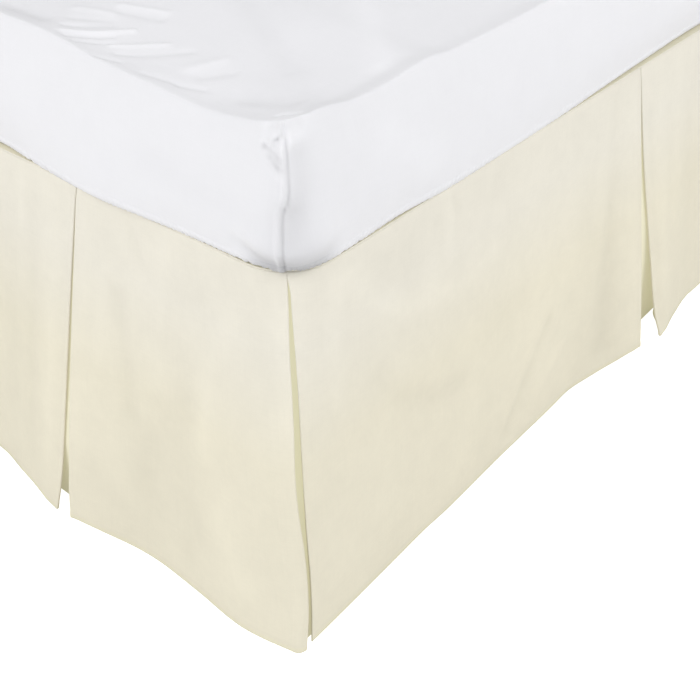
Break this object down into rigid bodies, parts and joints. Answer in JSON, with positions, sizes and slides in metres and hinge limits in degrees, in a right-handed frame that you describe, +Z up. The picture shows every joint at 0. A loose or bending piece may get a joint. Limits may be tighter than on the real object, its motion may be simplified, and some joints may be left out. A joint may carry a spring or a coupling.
{
  "type": "bed skirt on a single bed base with a mattress",
  "caption": "Tailored cloth bed skirt with inverted box pleats and split corners, hung from a flat deck between a plain bed base and its mattress.",
  "frame": {"origin": "on the floor, under the middle of the whole's footprint", "axes": "+Z up, -Y towards the foot of the bed, +Y towards its head, +X to the right seen from the foot"},
  "size_m": [1.0373, 2.0056, 0.5651],
  "materials": {
    "cream_cotton": "matte plain weave",
    "white_cotton": "matte plain weave",
    "base_ticking": "matte woven cover",
    "leg_wood": "satin"
  },
  "bodies": {
    "root": {"foot_drop": "cream_cotton", "side_drop_right": "cream_cotton", "side_drop_left": "cream_cotton", "corner_underlay_right": "cream_cotton", "corner_underlay_left": "cream_cotton", "skirt_deck": "cream_cotton", "mattress": "white_cotton", "bed_base": "base_ticking", "base_leg_1": "leg_wood", "base_leg_2": "leg_wood", "base_leg_3": "leg_wood", "base_leg_4": "leg_wood", "base_leg_5": "leg_wood", "base_leg_6": "leg_wood"}
  },
  "joints": []
}
